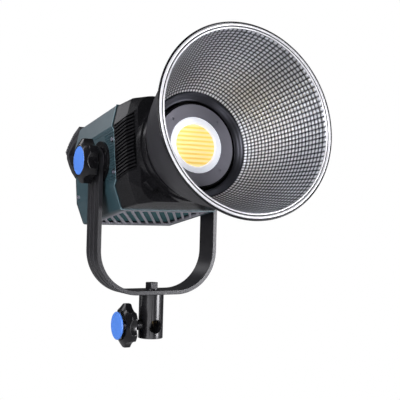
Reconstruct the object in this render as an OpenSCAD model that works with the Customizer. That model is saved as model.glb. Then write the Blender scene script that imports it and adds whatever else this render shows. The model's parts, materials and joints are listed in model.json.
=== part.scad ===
// LED monolight: a fan-cooled head on a U yoke, with a reflector on a bayonet ring.
// Origin: centre of the stand socket's mouth. +Z is up and the head faces -Y.

/* [Yoke] */
// Half of the yoke's outside width
yoke_half_w = 74.5; // [74.5:0.5:80]
// Thickness of the yoke strap
yoke_t = 5; // [4:0.5:6]
// Width of the yoke strap
strap_w = 32; // [28:1:36]
// Outside radius of the yoke's bends
bend_r = 50; // [40:1:55]
// Height of the tilt axis above the socket's mouth
pivot_z = 197; // [190:1:230]

/* [Stand receiver] */
// Outside radius of the receiver
receiver_r = 14; // [13:0.5:16]
// Length of the receiver
receiver_h = 50; // [46:1:60]
// Radius of the socket for a 16 mm spigot
socket_r = 8.1; // [8.05:0.05:8.3]
// Depth of the socket
socket_depth = 42; // [36:1:42]
// Height of the lock screw above the socket's mouth
lock_z = 15.2; // [14:0.2:18]

/* [Head] */
// Upward tilt of the head at rest, in degrees
tilt = 10; // [0:1:20]
// Half width of the body at its widest
body_half_w = 65; // [64:0.5:65]
// Half height of the body
body_half_h = 58; // [56:1:58]
// Distance from the tilt axis back to the body's rear edge
body_rear = 80; // [78:1:84]
// Distance from the tilt axis forward to the body's front edge
body_front = 36; // [35:1:38]
// Distance from the tilt axis to the shroud's front face
shroud_front = 74; // [73:1:76]
// Wall thickness of the housing
wall = 2.5; // [2:0.5:3]

/* [Reflector] */
// Distance from the tilt axis to the reflector's front edge
mouth_f = 204.5; // [190:0.5:220]
// Outside radius of the reflector's rolled rim
mouth_r = 96; // [90:1:100]
// Inside radius of the reflector's neck
neck_r = 53; // [52.5:0.5:54]
// Shape of the bell, where 1 is a straight cone
bell_power = 0.66; // [0.5:0.02:1]

/* [Knobs] */
// Outside radius of the lobed knobs
knob_r = 24.7; // [22:0.1:26]
// Radius of the coloured cap
knob_cap_r = 15.6; // [12:0.1:17]
// Length of the knobs
knob_len = 14.7; // [13:0.1:18]

/* [Hidden] */
$fn = 64;

running_gap = 0.05;
cut = 1;
black = [0.07, 0.07, 0.08];
satin_black = [0.14, 0.14, 0.15];
teal = [0.17, 0.25, 0.27];
grey = [0.4, 0.41, 0.43];
silver = [0.75, 0.75, 0.77];
blue = [0.2, 0.45, 0.85];

yoke_in = yoke_half_w - yoke_t;
arm_end_r = strap_w / 2;
pivot_r = 5;
bolt_r = 4;
bolt_washer_t = 1;
boss_r = 22.5;
boss_t = 3;
washer_t = 2.5;
washer_gap = 0.3;
knob_back_gap = 0.3;
lobes = 6;
scallop_r = 18;
scallop_depth = 3.5;
knob_chamfer = 4.5;
cap_t = 1.6;
cap_sink = 1.4;
tilt_knob_x = yoke_half_w + washer_gap + washer_t + knob_back_gap;
receiver_knob_x = 27.7;

chamfer_w = 57.5;
chamfer_h = 33;
seam_step = 0.8;
seam_top = 29.5;
seam_back = 31;
shroud_edge = 61;
shroud_edge_taper = 3;
shroud_face_w = 54.5;
shroud_corner_r = 18;
shroud_hole_r = 47;
ring_floor = 1.6;
ring_screw_r = 49.8;
vent_low = -27;
vent_high = 33;
vent_back = 37;
vent_front = 70;
rib_count = 16;
grille_half_w = 52;
grille_back = -75;
grille_front = 25;
grille_t = 2;

ring_r = 57.5;
ring_front = 84;
throat_r = 52;
lug_groove_r = 55;
lug_angle = 16;
lug_slots = 3;
lug_start = 60;
lug_r = 54.6;
twist_angle = 20;
collar_r = 51.6;
latch_angle = 221;

nose_r = 45.5;
emitter_f = 96;
bell_t = 1.5;
bead_r = 2.6;
bell_steps = 22;
bell_back = 93;
bell_start = 99;
lip_r = 47.2;
lip_f = 94.6;
bell_end = mouth_f - 1.5;
bead_ring_r = mouth_r - bead_r;
bell_end_r = bead_ring_r - bead_r - 0.1 - bell_t;

panel_t = 2.5;
panel_back = body_rear + panel_t;
dial_x = 28;
control_u = -4;
button_pitch = 10;
socket_u = -34;
fan_half = 46;

// Places children in the head's own frame: x across, y up and z forward along the light's axis.
module optic() {
    translate([0, 0, pivot_z]) rotate([90 - tilt, 0, 0]) children();
}

// Places children with z pointing to -X, starting at a distance x from the middle and a height z.
module to_left(x, z) {
    translate([-x, 0, z]) rotate([0, -90, 0]) children();
}

// The same for +X.
module to_right(x, z) {
    translate([x, 0, z]) rotate([0, 90, 0]) children();
}

function unit(v) = v / norm(v);

// Corner b between a and c, replaced by an arc of radius r.
function round_corner(a, b, c, r, n) =
    let (
        u = unit(a - b), v = unit(c - b), half = acos(u * v) / 2,
        p = b + u * r / tan(half), q = b + v * r / tan(half),
        o = b + unit(u + v) * r / sin(half)
    )
    [for (k = [0:n]) o + r * unit((p - o) * (1 - k / n) + (q - o) * (k / n))];

// Outline with every corner rounded; radii repeats the list of corner radii.
function rounded(pts, radii, n = 5) =
    let (m = len(pts))
    [for (i = [0:m - 1], p = round_corner(pts[(i + m - 1) % m], pts[i], pts[(i + 1) % m],
                                         radii[i % len(radii)], n)) p];

// Eight-sided section of the body, drawn in by inset on each side.
function octagon(inset = 0) = [
    [chamfer_w - inset, body_half_h - inset], [body_half_w - inset, chamfer_h],
    [body_half_w - inset, -chamfer_h], [chamfer_w - inset, inset - body_half_h],
    [inset - chamfer_w, inset - body_half_h], [inset - body_half_w, -chamfer_h],
    [inset - body_half_w, chamfer_h], [inset - chamfer_w, body_half_h - inset]
];
function section(inset, top_r, side_r) =
    rounded(octagon(inset), [top_r, side_r, side_r, top_r]);

// Flat rounded bar from z0 to z1, centred on x and y.
module slab(w, h, z0, z1, r = 0) {
    translate([0, 0, z0]) linear_extrude(z1 - z0)
        if (r > 0) polygon(rounded([[w, h] / 2, [w, -h] / 2, [-w, -h] / 2, [-w, h] / 2], [r]));
        else square([w, h], center = true);
}

module ring(r_out, r_in, z0, z1) {
    translate([0, 0, z0]) difference() {
        cylinder(r = r_out, h = z1 - z0);
        translate([0, 0, -cut]) cylinder(r = r_in, h = z1 - z0 + 2 * cut);
    }
}

module disc(r, z0, z1) {
    translate([0, 0, z0]) cylinder(r = r, h = z1 - z0);
}

// ---- Yoke ----

// Outline of a U with rounded lower corners, its outside face at half width w.
module yoke_outline(w, low, r) {
    high = pivot_z + arm_end_r;
    translate([r - w, low + r]) circle(r);
    translate([w - r, low + r]) circle(r);
    translate([r - w, low]) square([2 * (w - r), high - low]);
    translate([-w, low + r]) square([2 * w, high - low - r]);
}

module yoke_blank(w, low, r, y0, y1) {
    translate([0, y1, 0]) rotate([90, 0, 0]) linear_extrude(y1 - y0) yoke_outline(w, low, r);
}

module yoke_groove(y) {
    groove_w = 3;
    groove_depth = 1;
    difference() {
        yoke_blank(yoke_half_w + cut, receiver_h - cut, bend_r + cut, y - groove_w / 2, y + groove_w / 2);
        yoke_blank(yoke_half_w - groove_depth, receiver_h + groove_depth, bend_r - groove_depth,
                   y - groove_w, y + groove_w);
        translate([-yoke_half_w, -strap_w, pivot_z - boss_r]) cube([2 * yoke_half_w, 2 * strap_w, 3 * boss_r]);
        translate([0, 0, receiver_h - cut]) cylinder(r = receiver_r + 2, h = 2 * yoke_t);
        for (side = [-1, 1]) translate([side * yoke_half_w, 0, pivot_z]) rotate([0, 90, 0])
            cylinder(r = boss_r, h = 4 * yoke_t, center = true);
    }
}

module yoke_bracket() {
    color(satin_black) difference() {
        yoke_blank(yoke_half_w, receiver_h, bend_r, -strap_w / 2, strap_w / 2);
        yoke_blank(yoke_in, receiver_h + yoke_t, bend_r - yoke_t, -strap_w, strap_w);
        difference() {
            translate([-100, -strap_w, pivot_z]) cube([200, 2 * strap_w, 2 * arm_end_r]);
            translate([-101, 0, pivot_z]) rotate([0, 90, 0]) cylinder(r = arm_end_r, h = 202);
        }
        translate([-100, 0, pivot_z]) rotate([0, 90, 0]) cylinder(r = pivot_r + running_gap, h = 200);
        translate([0, 0, receiver_h - cut]) cylinder(r = bolt_r + 0.2, h = yoke_t + 2 * cut);
        for (y = [-5.5, 5.5]) yoke_groove(y);
    }
}

module stand_receiver() {
    cross_r = 7.5;
    color(black) difference() {
        cylinder(r = receiver_r, h = receiver_h);
        translate([0, 0, -cut]) cylinder(r = socket_r, h = socket_depth + cut);
        translate([0, 0, socket_depth - cut]) cylinder(r = bolt_r, h = receiver_h);
        // guide for the pad and the lock screw
        to_left(0, lock_z) cylinder(r = 4.3, h = receiver_r + cut);
        // cross hole in the front wall
        translate([0, 0, lock_z - 1.2]) rotate([90, 0, 0]) cylinder(r = cross_r, h = receiver_r + cut);
    }
}

module receiver_bolt() {
    head_z = receiver_h + yoke_t + bolt_washer_t;
    color(black) {
        translate([0, 0, head_z]) cylinder(r = 7.6, h = 6.8, $fn = 6);
        translate([0, 0, socket_depth + 1]) cylinder(r = bolt_r, h = head_z - socket_depth - 1);
    }
}

module receiver_washer() {
    color(black) ring(8, bolt_r + 0.2, receiver_h + yoke_t, receiver_h + yoke_t + bolt_washer_t);
}

module lock_bush() {
    bush_end = 18;
    color(black) difference() {
        to_left(0, lock_z) cylinder(r = 6, h = bush_end);
        cylinder(r = receiver_r, h = receiver_h);
        to_left(0, lock_z) cylinder(r = bolt_r + running_gap, h = bush_end + cut);
    }
}

module friction_discs() {
    color(grey) for (side = [-1, 1])
        translate([side * (yoke_in - 0.6), 0, pivot_z]) rotate([0, 90, 0]) difference() {
            cylinder(r = 14, h = 1.2, center = true);
            cylinder(r = pivot_r + 0.3, h = 4, center = true);
        }
}

// ---- Knobs ----

// Lobed knob along +z with a chamfered front, a cap recess and a bore.
module lobed_knob(bore_r) {
    difference() {
        intersection() {
            cylinder(r = knob_r, h = knob_len);
            union() {
                cylinder(r = knob_r, h = knob_len - knob_chamfer);
                translate([0, 0, knob_len - knob_chamfer])
                    cylinder(r1 = knob_r, r2 = knob_cap_r + 1, h = knob_chamfer);
            }
        }
        for (k = [0:lobes - 1]) rotate([0, 0, (k + 0.5) * 360 / lobes])
            translate([knob_r + scallop_r - scallop_depth, 0, -cut]) cylinder(r = scallop_r, h = knob_len + 2 * cut);
        translate([0, 0, knob_len - cap_sink]) cylinder(r = knob_cap_r + 0.1, h = knob_len);
        translate([0, 0, -cut]) cylinder(r = bore_r, h = knob_len - cap_sink - 1);
        ring(17, 11, -cut, 2.5);
    }
}

module knob_cap() {
    color(blue) translate([0, 0, knob_len - cap_sink]) {
        cylinder(r = knob_cap_r, h = cap_t - 0.6);
        translate([0, 0, cap_t - 0.6]) cylinder(r1 = knob_cap_r, r2 = knob_cap_r - 0.6, h = 0.6);
    }
}

module tilt_washer() {
    color(silver) to_left(yoke_half_w + washer_gap, pivot_z) ring(11, pivot_r + 0.3, 0, washer_t);
}

module tilt_knob() {
    color(black) to_left(tilt_knob_x, pivot_z) lobed_knob(8);
}

module tilt_knob_insert() {
    insert_len = 11.2;
    color([0.75, 0.6, 0.3]) to_left(tilt_knob_x, pivot_z) ring(8, pivot_r + 0.3, 0, insert_len);
}

module tilt_knob_cap() {
    to_left(tilt_knob_x, pivot_z) knob_cap();
}

module lock_pad() {
    color([0.75, 0.6, 0.3]) to_left(socket_r + 0.2, lock_z) cylinder(r = 4, h = 4);
}

module lock_screw() {
    screw_start = socket_r + 4.5;
    screw_end = receiver_knob_x + 11;
    color(silver) to_left(screw_start, lock_z) cylinder(r = bolt_r, h = screw_end - screw_start);
}

module receiver_knob() {
    color(black) {
        to_left(receiver_knob_x, lock_z) lobed_knob(bolt_r);
        to_left(receiver_knob_x - 5, lock_z) ring(6.5, bolt_r, 0, 5);
    }
}

module receiver_knob_cap() {
    to_left(receiver_knob_x, lock_z) knob_cap();
}

// ---- Head shell ----

// Everything in front of the seam between the body and the shroud, which runs back on the chamfers.
module seam_front(limit = 200) {
    side = 100;
    translate([side, 0, 0]) rotate([0, -90, 0]) linear_extrude(2 * side)
        polygon([[seam_top, limit], [seam_top, body_half_h], [seam_back, chamfer_h], [body_front, vent_high - 5],
                 [body_front, vent_low], [seam_back, -chamfer_h], [seam_top, -body_half_h], [seam_top, -limit],
                 [limit, -limit], [limit, limit]]);
}

module body_shell() {
    color(teal) optic() difference() {
        translate([0, 0, -body_rear]) linear_extrude(body_rear + body_front) polygon(section(0, 3, 3));
        translate([0, 0, -body_rear - cut]) linear_extrude(body_rear + body_front + 2 * cut)
            polygon(section(wall, 2, 2));
        seam_front();
        // windows for the two grilles
        translate([-grille_half_w, -body_half_h - cut, grille_back])
            cube([2 * grille_half_w, 2 * body_half_h + 2 * cut, grille_front - grille_back]);
        // pivot holes
        rotate([0, 90, 0]) cylinder(r = pivot_r + 0.2, h = 200, center = true);
        // shallow channels along the upper edge of each side
        for (side = [-1, 1]) translate([side * body_half_w, 28, 0])
            cube([1, 1.6, 200], center = true);
    }
}

// Block of the shroud, drawn in by inset: straight to its side edge, then sloping in to the front face.
module shroud_block(inset, back, front) {
    plate = 0.01;
    edge_pts = [for (p = section(inset, 5, 6)) [p.x - sign(p.x) * shroud_edge_taper, p.y]];
    face = [shroud_face_w - inset, body_half_h - 0.5 - inset];
    hull() {
        translate([0, 0, back]) linear_extrude(plate) polygon(section(inset, 3, 3));
        translate([0, 0, shroud_edge - inset]) linear_extrude(plate) polygon(edge_pts);
        translate([0, 0, front - plate]) linear_extrude(plate)
            polygon(rounded([[face.x, face.y], [face.x, -face.y], -face, [-face.x, face.y]], [shroud_corner_r]));
    }
}

vent_angle = 13.5;
vent_rise = 10.5;

// Wedge in which a side vent sits. It slopes in towards the ring, and its ribs climb towards the front.
module vent_zone(side, gap) {
    depth = 9 + gap;
    outer_x = body_half_w + 0.3;
    reach = 60;
    climb = reach * tan(vent_rise);
    intersection() {
        translate([side * outer_x, 0, vent_back]) rotate([0, -side * vent_angle, 0])
            translate([side * (10 - depth) / 2, 0, 0]) rotate([0, -90, 0])
                linear_extrude(depth + 10, center = true)
                    polygon([[-gap, vent_low - gap], [reach, vent_low + climb - gap],
                             [reach, vent_high + climb + gap], [-gap, vent_high + gap]]);
        translate([-100, -100, vent_back - gap]) cube([200, 200, vent_front - vent_back + 2 * gap]);
    }
}

module front_shroud() {
    color(black) optic() difference() {
        intersection() {
            shroud_block(seam_step, seam_top - cut, shroud_front);
            seam_front();
        }
        shroud_block(seam_step + wall, seam_top - 2 * cut, shroud_front - 4);
        disc(shroud_hole_r, shroud_front - 10, shroud_front + 10);
        for (side = [-1, 1]) vent_zone(side, 0.2);
        for (a = [45:90:315]) rotate([0, 0, a]) translate([ring_screw_r, 0, 0]) disc(1.25, 60, 90);
    }
}

module side_vent(side) {
    pitch = (vent_high - vent_low) / rib_count;
    slot = 2;
    slot_depth = 2.4;
    rim = 1.6;
    color(black) optic() difference() {
        intersection() {
            shroud_block(-0.3, vent_back - 1, shroud_front);
            vent_zone(side, 0);
        }
        // slots between the ribs, open at the front
        translate([side * (body_half_w + 0.3), 0, vent_back]) rotate([0, -side * vent_angle, 0])
            for (k = [0:rib_count - 1]) translate([side * 5, vent_low + (k + 0.5) * pitch, rim])
                rotate([-vent_rise, 0, 0]) translate([0, 0, 40])
                    cube([10 + 2 * slot_depth, slot, 80], center = true);
        disc(ring_r + 0.4, 60, 100);
    }
}
module left_vent() { side_vent(-1); }
module right_vent() { side_vent(1); }

module grille(side) {
    slots = 13;
    slot_pitch = 10.2;
    slot_w = 6.2;
    margin = 0.2;
    slant = 30;
    w = 2 * (grille_half_w - margin);
    mid = (grille_back + grille_front) / 2;
    len_f = grille_front - grille_back - 2 * margin;
    color(grey) optic() translate([0, side * (body_half_h - grille_t / 2), mid]) rotate([90, 0, 0])
        difference() {
            slab(w, len_f, -grille_t / 2, grille_t / 2);
            intersection() {
                slab(w - 10, len_f - 12, -grille_t, grille_t);
                for (k = [-slots / 2 + 0.5:slots / 2 + 1]) translate([k * slot_pitch, 0, 0]) rotate([0, 0, slant])
                    cube([slot_w, 2 * len_f, 10], center = true);
            }
        }
}
module top_grille() { grille(1); }
module bottom_grille() { grille(-1); }

module boss(side) {
    color(black) translate([side * (body_half_w + boss_t / 2), 0, pivot_z]) rotate([0, 90, 0]) difference() {
        cylinder(r = boss_r, h = boss_t, center = true);
        cylinder(r = pivot_r, h = 4 * boss_t, center = true);
        for (a = [0:60:300]) rotate([0, 0, a]) translate([18.5, 0, side * boss_t / 2])
            cylinder(r = 1.6, h = 1.6, center = true);
    }
}
module left_boss() { boss(-1); }
module right_boss() { boss(1); }

module tilt_stud() {
    stud_in = body_half_w - wall;
    stud_end = tilt_knob_x + 10;
    color(silver) {
        to_left(stud_in, pivot_z) cylinder(r = pivot_r, h = stud_end - stud_in);
        to_left(stud_in - 4, pivot_z) cylinder(r = 9, h = 4, $fn = 6);
    }
}

module pivot_bolt() {
    head_x = yoke_half_w + 0.4;
    stud_in = body_half_w - wall;
    color(silver) {
        to_right(stud_in, pivot_z) cylinder(r = pivot_r, h = head_x - stud_in);
        to_right(stud_in - 4, pivot_z) cylinder(r = 9, h = 4, $fn = 6);
        difference() {
            to_right(head_x, pivot_z) cylinder(r = 9, h = 5);
            to_right(head_x + 2, pivot_z) cylinder(r = 4.6, h = 5, $fn = 6);
        }
    }
}

module pivot_bolt_cap() {
    cap_x = yoke_half_w + 0.4;
    color(black) {
        to_right(cap_x, pivot_z) ring(15, 9.2, 0, 5);
        to_right(cap_x + 5, pivot_z) cylinder(r1 = 15, r2 = 13.4, h = 1.6);
    }
}

// ---- Cooling and light source ----

module heatsink() {
    fins = 24;
    fin_pitch = 4;
    fin_half = 48;
    color(silver) optic() {
        for (k = [0:fins - 1]) translate([(k - (fins - 1) / 2) * fin_pitch, 0, 0])
            slab(1.2, 2 * fin_half, -28, 50);
        difference() {
            slab(2 * fin_half, 2 * fin_half, 50, 58);
            for (x = [-30, -10, 10, 30]) translate([x, 0, 54]) rotate([90, 0, 0])
                cylinder(r = 3, h = 200, center = true);
        }
        disc(38, 58, 94);
    }
}

module heat_pipes() {
    color([0.72, 0.45, 0.3]) optic() for (x = [-30, -10, 10, 30])
        translate([x, 0, 54]) rotate([90, 0, 0]) cylinder(r = 2.95, h = 100, center = true);
}

module nose_tube() {
    color(black) optic() difference() {
        ring(nose_r, 43.7, 58, 98);
        for (a = [0:120:240]) rotate([0, 0, a]) translate([44.6, 0, 66]) rotate([0, 90, 0])
            cylinder(r = 1.4, h = 6, center = true);
    }
}

module led_board() {
    color([0.9, 0.9, 0.9]) optic() disc(32, 94, emitter_f);
}

module led_emitter() {
    color([1, 0.85, 0.4]) optic() disc(22.5, emitter_f, emitter_f + 1.5);
}

module diffuser_ring() {
    color([0.92, 0.92, 0.94]) optic() difference() {
        ring(30, 22.6, emitter_f, emitter_f + 3);
        translate([0, 0, emitter_f + 1.5]) cylinder(r1 = 22.6, r2 = 24.2, h = 1.6);
    }
}

module emitter_holder() {
    color(grey) optic() difference() {
        ring(43.5, 30.1, emitter_f + 0.2, emitter_f + 3.4);
        for (a = [45:90:315]) rotate([0, 0, a]) translate([37, 0, 0]) disc(1.6, emitter_f + 2, emitter_f + 6);
    }
}

module fan_frame() {
    fan_back = -58;
    fan_front = -33;
    color(black) optic() {
        difference() {
            slab(2 * fan_half, 2 * fan_half, fan_back, fan_front, 4);
            disc(fan_half - 2, fan_back - cut, fan_front + cut);
            for (x = [-1, 1], y = [-1, 1]) translate([x * 41.2, y * 41.2, 0]) disc(2.1, fan_back - cut, fan_front + cut);
        }
        // motor plate on four struts
        ring(18, 2.05, fan_back, fan_back + 5);
        for (a = [45:90:315]) rotate([0, 0, a]) translate([17.5, -2, fan_back]) cube([fan_half - 19, 4, 4]);
    }
}

module fan_rotor() {
    hub_r = 17.5;
    blades = 7;
    color(satin_black) optic() {
        disc(hub_r, -52, -36);
        disc(2, -57, -52);
        for (k = [0:blades - 1]) rotate([0, 0, k * 360 / blades])
            translate([hub_r + 11.8, 0, -44]) rotate([38, 0, 0]) cube([24.5, 19, 1.6], center = true);
    }
}

module driver_board() {
    color([0.1, 0.3, 0.2]) optic() {
        slab(100, 84, -66, -64.4);
        for (k = [-2:2]) translate([k * 18, 24, 0]) slab(12, 16, -64.4, -60);
        for (k = [-1:1]) translate([k * 28, -20, 0]) disc(6.5, -64.4, -59.5);
    }
}

module control_board() {
    color([0.1, 0.3, 0.2]) optic() translate([0, 8, 0]) slab(80, 60, -76, -74.4);
}

// ---- Rear ----

module rear_panel() {
    color(black) optic() difference() {
        translate([0, 0, -panel_back]) linear_extrude(panel_t) polygon(section(0.4, 3, 3));
        translate([0, 30, 0]) slab(50.4, 26.4, -100, -70, 2);
        for (x = [-dial_x, dial_x]) translate([x, control_u, 0]) disc(3 + running_gap, -100, -70);
        for (k = [-1:1]) translate([k * button_pitch, control_u, 0]) disc(3.8, -100, -70);
        translate([28, socket_u, 0]) slab(22.4, 16.4, -100, -70);
        translate([-24, socket_u, 0]) slab(28.4, 21.4, -100, -70, 2);
        translate([4, socket_u, 0]) slab(9.6, 3.8, -100, -70, 1);
    }
}

module display_window() {
    color([0.05, 0.06, 0.08]) optic() translate([0, 30, 0]) {
        slab(50, 26, -panel_back - 0.4, -body_rear + 0.5, 2);
    }
}

module dial(x) {
    color(satin_black) optic() translate([x, control_u, 0]) {
        difference() {
            disc(11, -97, -panel_back - 0.6);
            for (k = [0:23]) rotate([0, 0, k * 15]) translate([11.3, 0, 0]) disc(0.9, -98, -panel_back - 3);
            disc(8, -98, -96.2);
        }
        disc(3, -panel_back - 0.6, -77);
    }
}
module brightness_dial() { dial(-dial_x); }
module colour_dial() { dial(dial_x); }

module button(k) {
    color(grey) optic() translate([k * button_pitch, control_u, 0]) {
        disc(3.5, -panel_back - 1.6, -79);
        disc(4.6, -79.6, -78.6);
    }
}
module mode_button() { button(-1); }
module menu_button() { button(0); }
module back_button() { button(1); }

rocker_x = 28;
rocker_f = -81;
module power_switch() {
    color(black) optic() translate([rocker_x, socket_u, 0]) difference() {
        union() {
            slab(22, 16, -panel_back, -70);
            slab(25, 19, -panel_back - 1.5, -panel_back, 1.5);
        }
        slab(18, 12.6, -100, -71.5);
        translate([0, 0, rocker_f]) rotate([90, 0, 0]) cylinder(r = 1.2 + running_gap, h = 14.2, center = true);
    }
}

module power_rocker() {
    rocker_tilt = 7;
    color([0.7, 0.12, 0.1]) optic() translate([rocker_x, socket_u, rocker_f]) rotate([0, rocker_tilt, 0]) {
        rotate([90, 0, 0]) cylinder(r = 1.2, h = 14, center = true);
        difference() {
            intersection() {
                slab(15.6, 11.4, -6, 5);
                rotate([90, 0, 0]) cylinder(r = 8.2, h = 20, center = true);
            }
            translate([0, 0, -14.2]) rotate([90, 0, 0]) cylinder(r = 11, h = 20, center = true);
        }
    }
}

module power_inlet() {
    color(black) optic() translate([-24, socket_u, 0]) {
        difference() {
            union() {
                slab(28, 21, -panel_back, -68, 2);
                slab(33, 26, -panel_back - 2, -panel_back, 2);
            }
            slab(24, 16.5, -100, -70, 3);
        }
        for (p = [[-7, -2], [0, 2], [7, -2]]) translate([p.x, p.y, 0]) slab(2, 4.5, -77, -69.5);
    }
}

module data_port() {
    color(silver) optic() translate([4, socket_u, 0]) difference() {
        slab(9.2, 3.4, -panel_back, -74, 1);
        slab(8, 2.4, -100, -75, 0.8);
    }
}

// Side outlines of a handle arm and the line of the grip, as distance forward and height.
handle_outer = [[-82.5, 57], [-102.3, 52], [-118.6, 44.6], [-130.8, 36.9], [-130.6, 32], [-123.5, 21],
                [-116, 12], [-104.5, 2.5], [-92, -4], [-82.5, -6]];
handle_inner = [[-89, 47.5], [-102, 45.5], [-116, 39.4], [-125, 34], [-116.5, 22], [-108.5, 14.5],
                [-89, 4]];
grip_path = [[-84.5, 62], [-104, 57], [-121, 49.3], [-133.5, 41.4]];
handle_x = 47;
handle_w = 10;
grip_t = 5;

// Turns a side outline into a plate of width w, centred on x.
module side_plate(w) {
    rotate([0, -90, 0]) translate([0, 0, -w / 2]) linear_extrude(w) children();
}

function slope(a, b) = atan2(a.y - b.y, a.x - b.x);

// Side view of the grip: a band of even thickness under its line.
module grip_outline() {
    for (k = [0:len(grip_path) - 2]) {
        a = grip_path[k];
        b = grip_path[k + 1];
        down = grip_t * [sin(slope(a, b)), -cos(slope(a, b))];
        polygon([a, b, b + down, a + down]);
    }
}

module handle_arm(side) {
    translate([side * (handle_x + handle_w / 2), 0, 0]) side_plate(handle_w) difference() {
        polygon(rounded(handle_outer, [1, 12, 12, 2, 4, 12, 12, 12, 12, 1], 3));
        polygon(rounded(handle_inner, [2, 8, 8, 3, 8, 8, 2], 3));
    }
}

module rear_handle() {
    bar_f = -109.7;
    bar_u = 46.4;
    bar_slope = 24.4;
    color(black) optic() {
        for (side = [-1, 1]) handle_arm(side);
        // bar under the grip
        translate([0, bar_u, bar_f]) rotate([-bar_slope, 0, 0]) cube([2 * handle_x + 2, 3, 14], center = true);
    }
}

module handle_grip() {
    rib_pitch = 3.7;
    rib_slot = 1.5;
    width = 2 * (handle_x + handle_w) + 0.6;
    color(satin_black) optic() difference() {
        side_plate(width) grip_outline();
        for (k = [0:len(grip_path) - 2]) {
            a = grip_path[k];
            b = grip_path[k + 1];
            ribs = floor(norm(a - b) / rib_pitch);
            for (n = [0:ribs - 1]) {
                p = a + (b - a) * (n + 0.5) / ribs;
                translate([0, p.y, p.x]) rotate([-slope(a, b), 0, 0]) cube([width + 2, 2.4, rib_slot], center = true);
            }
        }
    }
}

module socket_screw(r, z) {
    difference() {
        disc(r, z, z + 1.4);
        translate([0, 0, z + 0.5]) cylinder(r = r * 0.55, h = 2, $fn = 6);
    }
}

module handle_screws() {
    color(silver) optic() for (x = [-52, 52], u = [51, -1])
        translate([x, u, -79]) rotate([0, 180, 0]) disc(2.2, -2, 1);
}

module housing_screws() {
    color(silver) optic() for (side = [-1, 1], p = [[18, 32], [-18, 32], [27, -74], [-27, -74]])
        translate([side * body_half_w, p.x, p.y]) rotate([0, side * 90, 0]) {
            socket_screw(2.4, 0);
        }
}

// ---- Bayonet ----

module mount_ring() {
    color(black) optic() difference() {
        disc(ring_r, shroud_front, ring_front);
        disc(nose_r + 0.6, shroud_front - cut, ring_front + cut);
        disc(lug_groove_r, shroud_front + ring_floor, ring_front - 4);
        disc(throat_r, ring_front - 5, ring_front + cut);
        for (k = [0:lug_slots - 1]) rotate([0, 0, lug_start + k * 360 / lug_slots + twist_angle - lug_angle / 2 - 1])
            rotate_extrude(angle = lug_angle + 2) translate([40, ring_front - 4.5]) square([lug_r + 0.3 - 40, 8]);
        rotate([0, 0, latch_angle]) translate([40, -2.6, ring_front - 3.6]) cube([30, 5.2, 6]);
        for (a = [45:90:315]) rotate([0, 0, a]) translate([ring_screw_r, 0, 0]) disc(1.25, 60, 82);
    }
}

module mount_screws() {
    color(silver) optic() for (a = [45:90:315]) rotate([0, 0, a]) translate([ring_screw_r, 0, 0]) disc(1.2, 69, shroud_front + 1.4);
}

module mount_latch() {
    nose_start = throat_r + 2;
    color(satin_black) optic() rotate([0, 0, latch_angle]) {
        difference() {
            translate([ring_r + 0.4, -6, shroud_front + 0.4]) cube([6.6, 12, 9.6]);
            for (k = [0:2]) translate([ring_r + 2.2 + 1.8 * k, -7, ring_front - 0.4]) cube([0.9, 14, 1]);
        }
        translate([nose_start, -2.2, ring_front - 2.6]) cube([ring_r + 0.6 - nose_start, 4.4, 2.6]);
    }
}

// ---- Reflector ----

// Inside radius of the bell at a distance f along the axis.
function bell_r(f) = f <= bell_start ? neck_r
    : neck_r + (bell_end_r - neck_r) * pow((f - bell_start) / (bell_end - bell_start), bell_power);
// Stations are packed towards the neck, where the bell curves most.
function bell_f(k) = bell_start + (bell_end - bell_start) * pow(k / bell_steps, 1.6);

module reflector_bell() {
    lip = [[lip_r, lip_f], [lip_r, lip_f + 1.2], [lip_r + 1.8, lip_f + 2]];
    inside = [for (k = [0:bell_steps]) [bell_r(bell_f(k)), bell_f(k)]];
    outside = [for (k = [bell_steps:-1:0]) inside[k] + [bell_t, 0]];
    neck = [[neck_r + bell_t, bell_back], [neck_r, bell_back], [neck_r, lip_f]];
    color(silver) optic() rotate_extrude() polygon(concat(lip, inside, outside, neck));
}

module reflector_rim() {
    color(silver) optic() rotate_extrude() translate([bead_ring_r, mouth_f - bead_r]) circle(bead_r);
}

collar_back = ring_front + 0.4;

module reflector_collar() {
    color(satin_black) optic() difference() {
        union() {
            disc(56, collar_back, bell_back);
            disc(neck_r - 0.1, collar_back, lip_f - 0.1);
        }
        disc(50, collar_back - cut, 98);
    }
}

// Part of the collar that enters the ring, with the bayonet's lugs.
module reflector_spigot() {
    back = shroud_front + 2.2;
    color(satin_black) optic() {
        ring(collar_r, 48.5, back, collar_back);
        for (k = [0:lug_slots - 1]) rotate([0, 0, lug_start + k * 360 / lug_slots - lug_angle / 2])
            rotate_extrude(angle = lug_angle) translate([collar_r - 0.5, back]) square([lug_r - collar_r + 0.5, 3.2]);
    }
}

yoke_bracket();
stand_receiver();
receiver_bolt();
receiver_washer();
lock_bush();
friction_discs();
tilt_washer();
tilt_knob();
tilt_knob_insert();
tilt_knob_cap();
lock_pad();
lock_screw();
receiver_knob();
receiver_knob_cap();
body_shell();
front_shroud();
mount_ring();
mount_screws();
left_vent();
right_vent();
top_grille();
bottom_grille();
left_boss();
right_boss();
tilt_stud();
pivot_bolt();
pivot_bolt_cap();
heatsink();
heat_pipes();
nose_tube();
led_board();
led_emitter();
diffuser_ring();
emitter_holder();
fan_frame();
fan_rotor();
driver_board();
control_board();
rear_panel();
display_window();
brightness_dial();
colour_dial();
mode_button();
menu_button();
back_button();
power_switch();
power_rocker();
power_inlet();
data_port();
rear_handle();
handle_grip();
handle_screws();
housing_screws();
mount_latch();
reflector_bell();
reflector_rim();
reflector_collar();
reflector_spigot();
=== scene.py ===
"""Looks of a studio LED monolight: a fan-cooled head on a U yoke with a dimpled bell reflector."""
import json
import math

import bpy
from mathutils import Matrix, Vector


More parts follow.
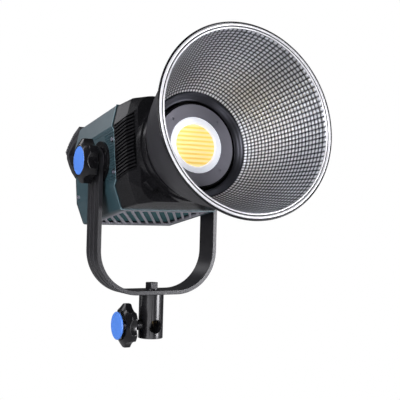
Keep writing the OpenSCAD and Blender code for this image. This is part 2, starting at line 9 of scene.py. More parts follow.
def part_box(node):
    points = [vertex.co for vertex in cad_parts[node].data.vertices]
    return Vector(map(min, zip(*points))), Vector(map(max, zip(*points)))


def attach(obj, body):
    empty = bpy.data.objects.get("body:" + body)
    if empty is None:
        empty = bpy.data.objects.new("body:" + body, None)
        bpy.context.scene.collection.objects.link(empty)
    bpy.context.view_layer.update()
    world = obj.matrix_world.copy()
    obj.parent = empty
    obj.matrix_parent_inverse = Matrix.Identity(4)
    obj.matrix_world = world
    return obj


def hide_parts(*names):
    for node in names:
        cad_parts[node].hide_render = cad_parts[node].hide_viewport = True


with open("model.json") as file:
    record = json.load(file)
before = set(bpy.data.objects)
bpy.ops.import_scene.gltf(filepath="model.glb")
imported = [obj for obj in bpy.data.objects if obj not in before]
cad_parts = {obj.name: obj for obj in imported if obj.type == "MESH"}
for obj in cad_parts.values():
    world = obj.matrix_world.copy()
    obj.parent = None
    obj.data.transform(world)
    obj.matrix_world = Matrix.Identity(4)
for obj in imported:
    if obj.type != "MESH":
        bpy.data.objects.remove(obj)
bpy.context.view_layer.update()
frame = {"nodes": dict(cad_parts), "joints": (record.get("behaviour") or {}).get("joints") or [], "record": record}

MM = 0.001
JOINTS = {joint["name"]: joint for joint in frame["joints"]}

# The head's own frame: x across, y up and z forward along the light's axis, in metres.
PIVOT = Vector(JOINTS["head_tilt"]["pos_m"])
FORWARD = Vector(JOINTS["reflector_twist"]["axis"]).normalized()
ACROSS = Vector((1, 0, 0))
UP = FORWARD.cross(ACROSS)
HEAD = Matrix.Translation(PIVOT) @ Matrix((ACROSS, UP, FORWARD)).transposed().to_4x4()

# Sizes of the reflector and emitter along and around the head's axis, in millimetres.
NECK_R = 53.0
BELL_BACK = 93.0
BELL_START = 99.0
BELL_END = 203.0
BELL_END_R = 89.2
BELL_POWER = 0.66
BELL_T = 1.5
MOUTH_F = 204.5
MOUTH_R = 96.0
EMITTER_F = 96.0
EMITTER_R = 22.5
CHIP_PITCH = 4.7

# Steps round the bell's outer skin and round its rim.
BELL_STEPS = 192
RIM_STEPS = 240

# Camera: the direction it looks from, its distance and its lens.
CAMERA_AZIMUTH = math.radians(-28.955)
CAMERA_ELEVATION = math.radians(-0.699)
CAMERA_ROLL = math.radians(1.496)
CAMERA_DISTANCE = 1.0
CAMERA_TARGET = Vector((0.060, 0.0, 0.1584))
CAMERA_LENS = 76.6
CAMERA_SENSOR = 36.0

FLOOR_Z = -0.30
FLOOR_SIZE = 12
ROOM_STRENGTH = 0.10
LIGHT_TINT = (0.96, 0.955, 1)

# Lights: name, place, aim, size and power.
LIGHTS = [
    ("key", (-1.2, 0.1, 1.7), (0, 0, 0.22), (0.9, 0.9), 16),
    ("front_left", (-2.1, -1.2, 0.3), (0, 0, 0.15), (0.4, 1.6), 5),
    ("bowl", (-1.9, -1.6, 0.95), (0, -0.1, 0.22), (1.1, 1.3), 86),
    ("front_right", (1.5, -1.7, -0.1), (0, -0.1, 0.2), (0.8, 0.8), 80),
    ("side", (2.0, -0.9, 0.45), (0, -0.15, 0.2), (0.9, 0.9), 22),
    ("rear_strip", (-1.5, 1.2, 0.5), (0, 0, 0.15), (0.3, 1.4), 6),
    ("rear_top", (-0.85, 2.0, 1.0), (0, 0, 0.2), (0.9, 0.5), 2.6),
    ("low_fill", (-0.5, -0.8, -0.28), (0, 0, 0.12), (1.2, 0.5), 7),
]

# CAD nodes whose sharp edges are eased, with the width in millimetres.
EASED_EDGES = {
    "body_shell": 1.0, "yoke_bracket": 0.8, "mount_ring": 0.5, "left_boss": 0.5, "right_boss": 0.5,
    "pivot_bolt_cap": 0.6, "rear_handle": 1.2, "stand_receiver": 0.5, "lock_bush": 0.5, "top_grille": 0.3,
    "bottom_grille": 0.3, "rear_panel": 0.5, "tilt_knob_cap": 0.3, "receiver_knob_cap": 0.3,
    "diffuser_ring": 0.5, "emitter_holder": 0.4, "reflector_collar": 0.4, "nose_tube": 0.3,
}


# ---- Camera, floor and light ----

def make_camera():
    data = bpy.data.cameras.new("camera")
    data.lens = CAMERA_LENS
    data.sensor_width = CAMERA_SENSOR
    data.clip_start = 0.01
    camera = bpy.data.objects.new("camera", data)
    bpy.context.scene.collection.objects.link(camera)
    az, el, roll = CAMERA_AZIMUTH, CAMERA_ELEVATION, CAMERA_ROLL
    back = Vector((math.sin(az) * math.cos(el), -math.cos(az) * math.cos(el), math.sin(el)))
    right = Vector((math.cos(az), math.sin(az), 0))
    up = back.cross(right)
    rolled_right = right * math.cos(roll) + up * math.sin(roll)
    rolled_up = up * math.cos(roll) - right * math.sin(roll)
    turn = Matrix((rolled_right, rolled_up, back)).transposed().to_4x4()
    camera.matrix_world = Matrix.Translation(CAMERA_TARGET + back * CAMERA_DISTANCE) @ turn
    bpy.context.scene.camera = camera


def area_light(name, place, aim, size, power):
    data = bpy.data.lights.new(name, "AREA")
    data.shape = "RECTANGLE"
    data.size, data.size_y = size
    data.energy = power
    data.color = LIGHT_TINT
    light = bpy.data.objects.new(name, data)
    bpy.context.scene.collection.objects.link(light)
    light.location = place
    light.rotation_euler = (Vector(aim) - Vector(place)).to_track_quat("-Z", "Y").to_euler()


def make_stage():
    bpy.ops.mesh.primitive_plane_add(size=FLOOR_SIZE, location=(0, 0, FLOOR_Z))
    floor = bpy.context.object
    floor.name = "floor"
    floor.data.materials.append(floor_material())


def add_ramp(nodes, low, low_colour, high, high_colour):
    """A colour ramp between two positions."""
    ramp = nodes.new("ShaderNodeValToRGB")
    first, last = ramp.color_ramp.elements
    first.position = low
    first.color = (*low_colour, 1)
    last.position = high
    last.color = (*high_colour, 1)
    return ramp


def make_world():
    """A dim room that is brighter overhead. The camera itself sees plain white."""
    world = bpy.data.worlds.new("studio")
    bpy.context.scene.world = world
    world.use_nodes = True
    nodes, links = world.node_tree.nodes, world.node_tree.links
    nodes.clear()
    output = nodes.new("ShaderNodeOutputWorld")
    mix = nodes.new("ShaderNodeMixShader")
    path = nodes.new("ShaderNodeLightPath")
    seen = nodes.new("ShaderNodeBackground")
    seen.inputs["Color"].default_value = (1, 1, 1, 1)
    seen.inputs["Strength"].default_value = 1.0
    room = nodes.new("ShaderNodeBackground")
    room.inputs["Strength"].default_value = ROOM_STRENGTH
    ramp = add_ramp(nodes, 0.35, (0.5, 0.5, 0.52), 0.85, (1, 1, 1))
    coords = nodes.new("ShaderNodeTexCoord")
    split = nodes.new("ShaderNodeSeparateXYZ")
    # height from 0 straight down to 1 straight up
    height = nodes.new("ShaderNodeMath")
    height.operation = "MULTIPLY_ADD"
    height.inputs[1].default_value = 0.5
    height.inputs[2].default_value = 0.5
    links.new(coords.outputs["Generated"], split.inputs[0])
    links.new(split.outputs["Z"], height.inputs[0])
    links.new(height.outputs[0], ramp.inputs[0])
    links.new(ramp.outputs[0], room.inputs["Color"])
    links.new(path.outputs["Is Camera Ray"], mix.inputs[0])
    links.new(room.outputs[0], mix.inputs[1])
    links.new(seen.outputs[0], mix.inputs[2])
    links.new(mix.outputs[0], output.inputs[0])


# ---- Materials ----

def floor_material():
    """A pale floor that the camera sees as plain white, like a lit studio sweep."""
    material = bpy.data.materials.new("floor_white")
    material.use_nodes = True
    nodes, links = material.node_tree.nodes, material.node_tree.links
    shader = nodes["Principled BSDF"]
    shader.inputs["Base Color"].default_value = (0.4, 0.4, 0.4, 1)
    shader.inputs["Roughness"].default_value = 0.9
    path = nodes.new("ShaderNodeLightPath")
    white = nodes.new("ShaderNodeEmission")
    white.inputs["Strength"].default_value = 1.0
    mix = nodes.new("ShaderNodeMixShader")
    links.new(path.outputs["Is Camera Ray"], mix.inputs[0])
    links.new(shader.outputs[0], mix.inputs[1])
    links.new(white.outputs[0], mix.inputs[2])
    links.new(mix.outputs[0], nodes["Material Output"].inputs["Surface"])
    return material


def surface(name, dark, light, rough, metal=0.0, scale=40.0, grain=900.0, bump=0.1, coat=0.0, specular=0.5):
    """A moulded, painted or metal surface.

    The colour drifts between dark and light over broad patches, the roughness between the two values of
    rough, and a fine grain gives the bump.
    """
    material = bpy.data.materials.new(name)
    material.use_nodes = True
    nodes, links = material.node_tree.nodes, material.node_tree.links
    shader = nodes["Principled BSDF"]
    shader.inputs["Metallic"].default_value = metal
    shader.inputs["Coat Weight"].default_value = coat
    shader.inputs["Specular IOR Level"].default_value = specular
    coords = nodes.new("ShaderNodeTexCoord")

    broad = nodes.new("ShaderNodeTexNoise")
    broad.inputs["Scale"].default_value = scale
    broad.inputs["Detail"].default_value = 4
    links.new(coords.outputs["Object"], broad.inputs["Vector"])
    colour = add_ramp(nodes, 0.3, dark, 0.7, light)
    links.new(broad.outputs["Fac"], colour.inputs["Fac"])
    links.new(colour.outputs["Color"], shader.inputs["Base Color"])

    fine = nodes.new("ShaderNodeTexNoise")
    fine.inputs["Scale"].default_value = grain
    fine.inputs["Detail"].default_value = 3
    links.new(coords.outputs["Object"], fine.inputs["Vector"])
    spread = nodes.new("ShaderNodeMapRange")
    spread.inputs["To Min"].default_value = rough[0]
    spread.inputs["To Max"].default_value = rough[1]
    links.new(fine.outputs["Fac"], spread.inputs["Value"])
    links.new(spread.outputs["Result"], shader.inputs["Roughness"])
    relief = nodes.new("ShaderNodeBump")
    relief.inputs["Strength"].default_value = bump
    relief.inputs["Distance"].default_value = 0.2 * MM
    links.new(fine.outputs["Fac"], relief.inputs["Height"])
    links.new(relief.outputs["Normal"], shader.inputs["Normal"])
    return material


def ceramic_material():
    """White ceramic with a faint painted glow, standing in for light from the emitter that it surrounds."""
    material = surface("led_ceramic", (0.90, 0.91, 0.93), (0.94, 0.95, 0.97), (0.3, 0.45), grain=600,
                       bump=0.06)
    shader = material.node_tree.nodes["Principled BSDF"]
    # the emission is a painted glow on a part that is no lamp
    shader.inputs["Emission Color"].default_value = (0.86, 0.9, 1, 1)
    shader.inputs["Emission Strength"].default_value = 0.25
    return material


def phosphor_material():
    """Yellow phosphor over rows of chips, which show as paler stripes across the disc."""
    material = surface("led_phosphor", (1.0, 0.70, 0.18), (1.0, 0.76, 0.26), (0.45, 0.6), scale=300,
                       bump=0.15)
    nodes, links = material.node_tree.nodes, material.node_tree.links
    shader = nodes["Principled BSDF"]
    rows = nodes.new("ShaderNodeTexWave")
    rows.wave_type = "BANDS"
    rows.bands_direction = "Y"
    rows.inputs["Scale"].default_value = math.pi / (10 * CHIP_PITCH * MM)
    rows.inputs["Distortion"].default_value = 0.0
    coords = nodes.new("ShaderNodeTexCoord")
    turn = nodes.new("ShaderNodeMapping")
    turn.vector_type = "TEXTURE"
    turn.inputs["Location"].default_value = PIVOT
    turn.inputs["Rotation"].default_value = HEAD.to_euler()
    stripes = add_ramp(nodes, 0.15, (0.95, 0.60, 0.13), 0.85, (0.95, 0.80, 0.34))
    links.new(coords.outputs["Object"], turn.inputs["Vector"])
    links.new(turn.outputs["Vector"], rows.inputs["Vector"])
    links.new(rows.outputs["Fac"], stripes.inputs["Fac"])
    links.new(stripes.outputs["Color"], shader.inputs["Base Color"])
    links.new(stripes.outputs["Color"], shader.inputs["Emission Color"])
    shader.inputs["Emission Strength"].default_value = 0.5
    return material


def dimpled_material():
    """Bright metal, darker where the piece's point attribute is low: painted shade in the creases between the
    dimples and a painted highlight at each dimple's centre.
    """
    material = surface("dimpled_silver", (0.90, 0.91, 0.94), (0.96, 0.97, 0.99), (0.30, 0.33), metal=1,
                       scale=60, grain=1200, bump=0.01)
    nodes, links = material.node_tree.nodes, material.node_tree.links
    shader = nodes["Principled BSDF"]
    # this point attribute carries painted shade in the creases and a painted highlight at each dimple's centre
    metal_tone_and_painted_light = nodes.new("ShaderNodeAttribute")
    metal_tone_and_painted_light.attribute_name = "metal_tone_and_painted_light"
    ramp = add_ramp(nodes, 0.2, (0.03, 0.03, 0.034), 0.8, (1, 1, 1))
    tone = nodes.new("ShaderNodeMix")
    tone.data_type = "RGBA"
    tone.blend_type = "MULTIPLY"
    tone.inputs["Factor"].default_value = 1.0
    # sockets 6 and 7 and output 2 are the node's colours
    links.new(metal_tone_and_painted_light.outputs["Fac"], ramp.inputs["Fac"])
    links.new(shader.inputs["Base Color"].links[0].from_socket, tone.inputs[6])
    links.new(ramp.outputs["Color"], tone.inputs[7])
    links.new(tone.outputs[2], shader.inputs["Base Color"])
    return material


def grey(value):
    """A near-neutral tone, a little towards blue."""
    return (value, value * 0.98, value * 1.12)


# Plain surfaces, by the record's material slot: dark and light tone, range of roughness, and the rest.
LOOKS = {
    "yoke_paint": (grey(0.008), grey(0.012), (0.28, 0.38), {"grain": 1500, "bump": 0.12, "specular": 0.3}),
    "receiver_black": (grey(0.005), grey(0.008), (0.22, 0.26), {"bump": 0.01, "specular": 0.35}),
    "steel": (grey(0.50), grey(0.62), (0.22, 0.38), {"metal": 1, "grain": 700, "bump": 0.12}),
    "friction_fibre": (grey(0.10), grey(0.18), (0.7, 0.9), {"grain": 600, "bump": 0.5}),
    "knob_plastic": (grey(0.003), grey(0.005), (0.12, 0.2), {"grain": 500, "bump": 0.03, "specular": 0.35}),
    "brass": ((0.55, 0.38, 0.14), (0.7, 0.52, 0.24), (0.25, 0.4), {"metal": 1}),
    "cap_blue": ((0.045, 0.150, 0.50), (0.052, 0.170, 0.55), (0.35, 0.5), {"bump": 0.12}),
    "body_teal": ((0.016, 0.036, 0.044), (0.021, 0.044, 0.052), (0.3, 0.42), {"grain": 1300, "bump": 0.15}),
    "shroud_plastic": (grey(0.003), grey(0.005), (0.24, 0.32),
                       {"grain": 1200, "bump": 0.05, "specular": 0.2}),
    "boss_plastic": (grey(0.003), grey(0.005), (0.14, 0.22), {"bump": 0.04, "specular": 0.4}),
    "mount_metal": (grey(0.004), grey(0.006), (0.2, 0.28), {"bump": 0.05, "specular": 0.2}),
    # grille grey: a painted reflection of the bright floor and surroundings on bars that are painted teal
    "grille_grey": (grey(0.17), grey(0.21), (0.35, 0.45), {"grain": 1200}),
    "fin_aluminium": (grey(0.45), grey(0.6), (0.3, 0.5), {"metal": 1}),
    "pipe_copper": ((0.6, 0.28, 0.16), (0.72, 0.38, 0.24), (0.25, 0.4), {"metal": 1}),
    "holder_grey": (grey(0.18), grey(0.21), (0.36, 0.44), {"metal": 0.3, "bump": 0.05}),
    "fan_plastic": (grey(0.012), grey(0.02), (0.4, 0.6), {}),
    "circuit_board": ((0.01, 0.08, 0.035), (0.02, 0.12, 0.055), (0.3, 0.5), {"grain": 400}),
    "display_glass": ((0.004, 0.006, 0.01), (0.006, 0.009, 0.014), (0.04, 0.08), {"coat": 1.0, "bump": 0.01}),
    "dial_rubber": (grey(0.012), grey(0.02), (0.5, 0.7), {"bump": 0.3}),
    "button_plastic": (grey(0.10), grey(0.14), (0.4, 0.55), {"bump": 0.15}),
    "socket_plastic": (grey(0.01), grey(0.016), (0.35, 0.5), {"bump": 0.15}),
    "rocker_red": ((0.34, 0.012, 0.008), (0.42, 0.02, 0.012), (0.2, 0.32), {"bump": 0.06}),
    "port_metal": (grey(0.5), grey(0.6), (0.25, 0.4), {"metal": 1}),
    "handle_plastic": (grey(0.012), grey(0.018), (0.32, 0.48), {"grain": 1100, "bump": 0.25}),
    "grip_rubber": (grey(0.014), grey(0.022), (0.5, 0.68), {"bump": 0.4}),
    "reflector_silver": ((0.66, 0.66, 0.68), (0.76, 0.76, 0.78), (0.14, 0.2),
                         {"metal": 1, "scale": 60, "grain": 1200, "bump": 0.02}),
    "rim_polished": ((0.52, 0.52, 0.53), (0.56, 0.56, 0.57), (0.3, 0.34),
                     {"metal": 0.5, "scale": 80, "bump": 0.0}),
}
MATERIALS = {
    name: surface(name, dark, light, rough, **rest)
    for name, (dark, light, rough, rest) in LOOKS.items()
}
MATERIALS["led_ceramic"] = ceramic_material()
MATERIALS["led_phosphor"] = phosphor_material()
DIMPLED_SILVER = dimpled_material()
LINER_PAINT = surface("liner_paint", (0.03, 0.10, 0.11), (0.05, 0.14, 0.15), (0.3, 0.45), grain=1200)
# a lighter teal grey for the seam's bevel: a painted highlight along the edge
SEAM_PAINTED_HIGHLIGHT = surface("seam_painted_highlight", (0.10, 0.16, 0.18), (0.14, 0.21, 0.23), (0.3, 0.4), metal=0.4, grain=1200,
                     bump=0.05)
BELL_PAINT = surface("bell_paint", grey(0.030), grey(0.040), (0.34, 0.44), metal=0.5, grain=1300, bump=0.12)


# ---- Mesh helpers ----

def add_piece(name, points, faces, material, body, place=HEAD, smooth=True):
    """Makes one mesh from points in millimetres in the frame place, riding on a body."""
    mesh = bpy.data.meshes.new(name)
    mesh.from_pydata([place @ (Vector(p) * MM) for p in points], [], faces)
    mesh.validate()
    if smooth:
        mesh.shade_smooth()
    else:
        mesh.shade_flat()
    mesh.materials.append(material)
    piece = bpy.data.objects.new(name, mesh)
    bpy.context.scene.collection.objects.link(piece)
    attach(piece, body)
    return piece


def turns(steps):
    """Even angles round a full circle."""
    return [2 * math.pi * k / steps for k in range(steps)]


def ring_faces(steps, count):
    """Faces of a closed outline of count points, repeated at each of steps places round a circle."""
    faces = []
    for k in range(steps):
        here, there = k * count, (k + 1) % steps * count
        for i in range(count):
            j = (i + 1) % count
            faces.append((here + i, there + i, there + j, here + j))
    return faces


def lathe(profile, steps):
    """Points and faces of a closed outline of (radius, height) turned about z."""
    points = [(r * math.cos(a), r * math.sin(a), z) for a in turns(steps) for r, z in profile]
    return points, ring_faces(steps, len(profile))


def arc(centre, radius, start, end, steps):
    """Points of an arc from start to end, in degrees."""
    angles = [math.radians(start + (end - start) * k / steps) for k in range(steps + 1)]
    return [(centre[0] + radius * math.cos(a), centre[1] + radius * math.sin(a)) for a in angles]


def flipped(faces):
    """The same faces, seen from their other side."""
    return [face[::-1] for face in faces]


def soften(name, width, angle=35):
    """Rounds the sharp edges of a CAD node with modifiers."""
    node = frame["nodes"][name]
    weld = node.modifiers.new("weld", "WELD")
    weld.merge_threshold = 0.01 * MM
    bevel = node.modifiers.new("bevel", "BEVEL")
    bevel.width = width * MM
    bevel.segments = 2
    bevel.limit_method = "ANGLE"
    bevel.angle_limit = math.radians(angle)
    bevel.use_clamp_overlap = True
    normals = node.modifiers.new("normals", "WEIGHTED_NORMAL")
    normals.keep_sharp = True


# ---- Reflector ----

def bell_radius(f):
    if f <= BELL_START:
        return NECK_R
    share = (f - BELL_START) / (BELL_END - BELL_START)
    return NECK_R + (BELL_END_R - NECK_R) * share ** BELL_POWER


def bell_path(steps):
    """(radius, distance forward) along the bell's inside, at even lengths from neck to mouth."""
    samples = 400
    # closer samples at the neck, where the curve is tightest
    crowding = 1.6
    fine = [BELL_START + (BELL_END - BELL_START) * (k / samples) ** crowding for k in range(samples + 1)]
    lengths = [0.0]
    for a, b in zip(fine, fine[1:]):
        lengths.append(lengths[-1] + math.hypot(b - a, bell_radius(b) - bell_radius(a)))
    path = []
    at = 0
    for k in range(steps + 1):
        want = lengths[-1] * k / steps
        while at < samples - 1 and lengths[at + 1] < want:
            at += 1
        share = (want - lengths[at]) / (lengths[at + 1] - lengths[at])
        f = fine[at] + (fine[at + 1] - fine[at]) * share
        path.append((bell_radius(f), f))
    return path


def path_slopes(path):
    """The direction of a path at each of its points."""
    slopes = []
    for k in range(len(path)):
        a = path[max(k - 1, 0)]
        b = path[min(k + 1, len(path) - 1)]
        length = math.hypot(b[0] - a[0], b[1] - a[1])
        slopes.append(((b[0] - a[0]) / length, (b[1] - a[1]) / length))
    return slopes


def make_bell_inside():
    """The bright inside: a grid of pillow-shaped dimples, with a plain lip at the neck."""
    columns, dimple_rows = 108, 25
    # mesh steps across one dimple
    cell = 4
    depth = 0.5
    back_t = 0.7
    # the crease tone is painted shade between the dimples; the lip's and the back's tones are their own
    crease_painted_shade, lip_shine, back_shine = 0.12, 0.2, 0.6
    lip = [(47.4, 95.9), (48.8, 96.4), (50.4, 97.2), (51.8, 98.1)]
    path = lip + bell_path(dimple_rows * cell)
    slopes = path_slopes(path)
    # the lip and the first row of the bell stay plain
    first = len(lip) + cell
    around = columns * cell
    count = len(path)

    points = []
    metal_tone_and_painted_light = []
    for i, angle in enumerate(turns(around)):
        across = math.sin(math.pi * (i % cell) / cell)
        for k, ((r, f), (dr, df)) in enumerate(zip(path, slopes)):
            lift = 0.0
            tone = lip_shine
            if k >= first:
                lift = depth * across * math.sin(math.pi * (k % cell) / cell)
                # painted highlight rising to each dimple's centre from painted shade in its creases
                tone = crease_painted_shade + (1 - crease_painted_shade) * (lift / depth) ** 0.8
            r, f = r - lift * df, f + lift * dr
            points.append((r * math.cos(angle), r * math.sin(angle), f))
            metal_tone_and_painted_light.append(tone)

    # a plain back skin closes the shell
    base = len(points)
    back_path = path[::cell]
    back_count = len(back_path)
    for angle in turns(around):
        points += [((r + back_t) * math.cos(angle), (r + back_t) * math.sin(angle), f) for r, f in back_path]
    metal_tone_and_painted_light += [back_shine] * (len(points) - base)

    faces = []
    last, back_last = count - 1, back_count - 1
    for i in range(around):
        j = (i + 1) % around
        here, there = i * count, j * count
        back_here, back_there = base + i * back_count, base + j * back_count
        faces += [(here + k, here + k + 1, there + k + 1, there + k) for k in range(last)]
        faces += [(back_here + k, back_there + k, back_there + k + 1, back_here + k + 1)
                  for k in range(back_last)]
        faces.append((here, there, back_there, back_here))
        faces.append((there + last, here + last, back_here + back_last, back_there + back_last))
    bell = add_piece("bell_inside", points, faces, DIMPLED_SILVER, "reflector")
    bell.data.attributes.new("metal_tone_and_painted_light", "FLOAT", "POINT").data.foreach_set("value", metal_tone_and_painted_light)
    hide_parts("reflector_bell")


def make_bell_outside():
    """The painted outside, a skin round the dimpled one, with a short neck behind."""
    rows = 60
    inner_gap = 0.75
    neck_gap = 0.05
    path = bell_path(rows)
    inner = [(r + inner_gap, f) for r, f in path]
    outer = [(r + BELL_T, f) for r, f in reversed(path)]
    neck = [(NECK_R + BELL_T, BELL_BACK), (NECK_R + neck_gap, BELL_BACK), (NECK_R + neck_gap, BELL_START)]
    points, faces = lathe(neck[1:] + inner + outer + neck[:1], BELL_STEPS)
    bell = add_piece("bell_outside", points, faces, BELL_PAINT, "reflector")
    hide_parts("reflector_bell")


def make_rim():
    """A rolled edge: a broad bead and a fine one, a dark bead between them that is painted shade for the groove,
    and a dark lip outside.
    """
    # each bead is nearly a full circle, and its last face closes it
    bead_sweep, bead_steps = 345, 20
    broad_r = 1.3
    groove_r = 0.75
    fine_r = 0.8
    lip_r = 1.1
    # each bead sinks this far into its neighbour, and three lie this far behind the broad one's front
    sink = 0.3
    lip_back, groove_back, fine_back = 0.5, 0.1, 0.3
    lip = (MOUTH_R - lip_r, MOUTH_F - broad_r - lip_back)
    broad = (lip[0] - lip_r - broad_r + sink, MOUTH_F - broad_r)
    groove = (broad[0] - broad_r - groove_r + sink, MOUTH_F - broad_r - groove_back)
    fine = (groove[0] - groove_r - fine_r + sink, MOUTH_F - fine_r - fine_back)
    # the dark groove bead is painted shade in the gap between the bright beads
    for name, centre, radius, slot in (("rim_bead", broad, broad_r, "rim_polished"),
                                       ("rim_groove_shade", groove, groove_r, "mount_metal"),
                                       ("rim_inner_bead", fine, fine_r, "rim_polished"),
                                       ("rim_lip", lip, lip_r, "mount_metal")):
        points, faces = lathe(arc(centre, radius, 0, bead_sweep, bead_steps), RIM_STEPS)
        bead = add_piece(name, points, faces, MATERIALS[slot], "reflector")
        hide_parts("reflector_rim")


# ---- Emitter ----

def make_emitter():
    """Phosphor disc with a slightly domed face and shallow ribs over the rows of chips."""
    rings, steps = 40, 120
    rib, dome = 0.03, 0.35
    gap, thickness = 0.05, 1.05
    back, face = EMITTER_F + gap, EMITTER_F + gap + thickness
    circle = [(math.cos(a), math.sin(a)) for a in turns(steps)]
    points = [(0, 0, face + dome)]
    for k in range(1, rings + 1):
        r = EMITTER_R * k / rings
        for x, y in circle:
            height = dome * (1 - (r / EMITTER_R) ** 2) + rib * math.cos(2 * math.pi * r * y / CHIP_PITCH)
            points.append((r * x, r * y, face + height))
    points += [(EMITTER_R * x, EMITTER_R * y, back) for x, y in circle]

    faces = [(0, 1 + s, 1 + (s + 1) % steps) for s in range(steps)]
    # from each ring to the next, and at last down the edge to the back
    for k in range(rings):
        a, b = 1 + k * steps, 1 + (k + 1) * steps
        faces += [(a + s, b + s, b + (s + 1) % steps, a + (s + 1) % steps) for s in range(steps)]
    base = 1 + rings * steps
    faces.append(tuple(base + s for s in range(steps))[::-1])
    disc = add_piece("phosphor_disc", points, faces, MATERIALS["led_phosphor"], "head")
    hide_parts("led_emitter")


# ---- Housing trim ----

def make_mesh_strip(name, side):
    """Perforated strip between a side boss and its vent: a thin plate with rows of round holes."""
    cell, hole_r, sides = 2.9, 1.15, 8
    columns, rows = 8, 18
    low_f, low_u = 12.4, -26.1
    boss_clear = 24.4
    inner_x, outer_x = 65.08, 65.5
    hole_shade_x = 65.01
    screws = [(32.0, 18.0), (32.0, -18.0)]
    screw_clear = 3.6
    square = [(1, 0), (1, 1), (0, 1), (-1, 1), (-1, 0), (-1, -1), (0, -1), (1, -1)]
    points, faces, index, rims = [], [], {}, {}

    def vertex(x, u, f):
        key = (round(x, 3), round(u, 3), round(f, 3))
        if key not in index:
            index[key] = len(points)
            points.append((side * x, u, f))
        return index[key]

    for column in range(columns):
        for row in range(rows):
            f = low_f + (column + 0.5) * cell
            u = low_u + (row + 0.5) * cell
            on_screw = any(math.hypot(f - sf, u - su) < screw_clear for sf, su in screws)
            if on_screw or math.hypot(f, u) < boss_clear:
                continue
            ring, hole = {}, {}
            for x in (inner_x, outer_x):
                ring[x] = [vertex(x, u + b * cell / 2, f + a * cell / 2) for a, b in square]
                hole[x] = [vertex(x, u + hole_r * math.sin(a), f + hole_r * math.cos(a))
                           for a in turns(sides)]
            for k in range(sides):
                n = (k + 1) % sides
                faces.append((ring[outer_x][k], hole[outer_x][k], hole[outer_x][n], ring[outer_x][n]))
                faces.append((ring[inner_x][n], hole[inner_x][n], hole[inner_x][k], ring[inner_x][k]))
                faces.append((hole[outer_x][k], hole[inner_x][k], hole[inner_x][n], hole[outer_x][n]))
                edge = (ring[outer_x][k], ring[outer_x][n])
                rims[edge] = (ring[outer_x][n], ring[inner_x][n], ring[inner_x][k], ring[outer_x][k])
    # walls round the plate's own edge, where no neighbour shares the edge
    faces += [wall for (a, b), wall in rims.items() if (b, a) not in rims]
    # a black sheet behind the holes, painted shade for the dark inside seen through them
    corners = [(side * x, u, f) for x in (hole_shade_x, inner_x) for u in (low_u, low_u + rows * cell)
               for f in (boss_clear - 1, low_f + columns * cell)]
    box = [(0, 1, 3, 2), (4, 6, 7, 5), (0, 4, 5, 1), (2, 3, 7, 6), (0, 2, 6, 4), (1, 5, 7, 3)]
    if side < 0:
        faces, box = flipped(faces), flipped(box)
    add_piece(name, points, faces, MATERIALS["body_teal"], "head", smooth=False)
    add_piece(name + "_hole_shade", corners, box, MATERIALS["shroud_plastic"], "head",
              smooth=False)


def make_grille_liner(name, side):
    """Folded painted mesh seen through the slots of a grille: a thin sheet in narrow pleats."""
    half_w, back_f, pleat, count = 47.0, -70.0, 1.6, 56
    near, deep, sheet_t = 54.6, 52.4, 0.4
    points = []
    for k in range(count + 1):
        u = near if k % 2 else deep
        points += [(x, side * (u - drop), back_f + k * pleat)
                   for drop in (0, sheet_t) for x in (-half_w, half_w)]
    faces = [(1, 0, 2, 3), tuple(4 * count + i for i in (0, 1, 3, 2))]
    for k in range(count):
        a, b = 4 * k, 4 * k + 4
        faces += [(a, a + 1, b + 1, b), (a + 3, a + 2, b + 2, b + 3), (a + 2, a, b, b + 2),
                  (a + 1, a + 3, b + 3, b + 1)]
    if side > 0:
        faces = flipped(faces)
    add_piece(name, points, faces, LINER_PAINT, "head", smooth=False)


def make_seam_trim():
    """Bevelled edge where the body's painted shell meets the shroud, in a lighter colour that is a painted
    highlight along the edge.
    """
    width, proud, sunk = 0.9, 0.22, 0.4
    right = [(57.5, 58.0, 29.5), (65.0, 33.0, 31.0), (65.0, 28.0, 36.0),
             (65.0, -27.0, 36.0), (65.0, -33.0, 31.0), (57.5, -58.0, 29.5)]
    path = right + [(-x, u, f) for x, u, f in reversed(right)]
    back = Vector((0, 0, width))
    points = []
    for k, (x, u, f) in enumerate(path):
        before, after = path[k - 1], path[(k + 1) % len(path)]
        run = Vector((after[0] - before[0], after[1] - before[1], 0)).normalized()
        out = Vector((-run.y, run.x, 0))
        if out.dot(Vector((x, u, 0))) < 0:
            out = -out
        centre = Vector((x, u, f))
        points += [centre + out * proud - back, centre + out * proud * 0.4, centre - out * sunk,
                   centre - out * sunk - back]
    add_piece("seam_trim", points, ring_faces(len(path), 4), SEAM_PAINTED_HIGHLIGHT, "head", smooth=False)


# ---- Knobs ----

def eased_min(a, b, ease=5.0):
    """The smaller of two radii in millimetres, blended where they are nearly equal."""
    # radii are measured from a usual one, so that the powers stay small
    usual = 20.0
    return usual - math.log(math.exp(-ease * (a - usual)) + math.exp(-ease * (b - usual))) / ease


def knob_outline(angle, radius, lobes, depth):
    """Radius of a lobed knob at an angle: a round edge with scooped hollows, their corners eased."""
    hollow_r = 18.0
    step = 2 * math.pi / lobes
    off = (angle % step) - step / 2
    centre = radius + hollow_r - depth
    under = hollow_r ** 2 - (centre * math.sin(off)) ** 2
    if under <= 0:
        return radius
    return eased_min(radius, centre * math.cos(off) - math.sqrt(under))


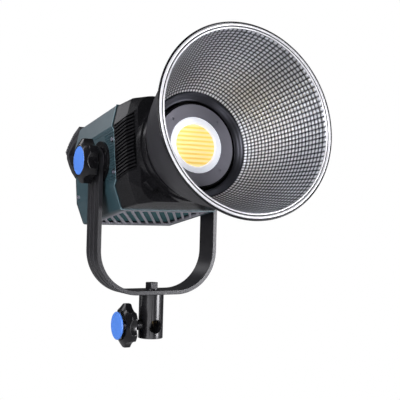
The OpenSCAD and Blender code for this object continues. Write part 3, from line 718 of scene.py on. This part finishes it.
def knob_stations(length, cap_r, shoulder, back):
    """From back to cap: height, then a fixed radius, or None and an inset from the lobed outline."""
    recess_r = 9.0
    cap_sink = 1.4
    slope_steps = 16
    # the last part of the straight side and the chamfer above it
    slope_start, slope_length = shoulder - 0.8, 5.1
    foot = [(2.6, recess_r, 0), (2.6, 15.5, 0), (0.8, 17.0, 0), (0.0, 17.6, 0), (0.0, None, 1.2),
            (0.25, None, 0.5), (0.8, None, 0.1), (1.4, None, 0)]
    side = [(slope_start + slope_length * k / slope_steps, None, 0) for k in range(slope_steps + 1)]
    top = [(length, cap_r + 0.6, 0), (length, cap_r + 0.15, 0), (length - 0.15, cap_r, 0),
           (length - 1.35, cap_r, 0), (length - cap_sink, recess_r, 0)]
    return [(back + z, fixed, inset) for z, fixed, inset in foot] + side + top


def make_knob(name, node, body, slot, back=0.0):
    """A lobed knob in a CAD knob's place. Its back starts at the distance back from the CAD one's."""
    low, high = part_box(node)
    centre = (Vector(low) + Vector(high)) / 2
    to_left = Matrix(((0, 0, -1), (0, 1, 0), (1, 0, 0))).to_4x4()
    place = Matrix.Translation((high[0], centre.y, centre.z)) @ to_left
    radius = 24.7
    length = 14.7
    cap_r = 15.8
    cone_r = cap_r + 0.9
    lobes, per_lobe = 6, 36
    depth, chamfer = 3.5, 4.5
    stations = knob_stations(length, cap_r, length - chamfer, back)
    steps = lobes * per_lobe
    points = []
    for angle in turns(steps):
        outline = knob_outline(angle, radius, lobes, depth)
        for z, fixed, inset in stations:
            cone = cone_r + (radius - cone_r) * (length - z) / chamfer
            r = fixed or eased_min(outline - inset, cone)
            points.append((r * math.cos(angle), r * math.sin(angle), z))
    knob = add_piece(name, points, ring_faces(steps, len(stations)), MATERIALS[slot], body, place=place)
    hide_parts(node)


def paint_frame():
    """Gives every CAD node the material of its slot."""
    for row in frame["record"]["subparts"]:
        node = frame["nodes"][row["node"]]
        material = MATERIALS[row["material_slot"]]
        if node.material_slots:
            for place in node.material_slots:
                place.material = material
        else:
            node.data.materials.append(material)


bpy.context.scene.view_settings.view_transform = "Standard"
make_camera()
make_world()
make_stage()
for light_row in LIGHTS:
    area_light(*light_row)

paint_frame()
make_bell_inside()
make_bell_outside()
make_rim()
make_emitter()
make_mesh_strip("left_mesh_strip", -1)
make_mesh_strip("right_mesh_strip", 1)
make_grille_liner("top_grille_liner", 1)
make_grille_liner("bottom_grille_liner", -1)
make_seam_trim()
make_knob("tilt_knob_lobed", "tilt_knob", "tilt_knob", "knob_plastic")
make_knob("receiver_knob_lobed", "receiver_knob", "receiver_knob", "knob_plastic", back=3.6)
for node_name, edge_width in EASED_EDGES.items():
    soften(node_name, edge_width)
soften("front_shroud", 0.8, angle=25)
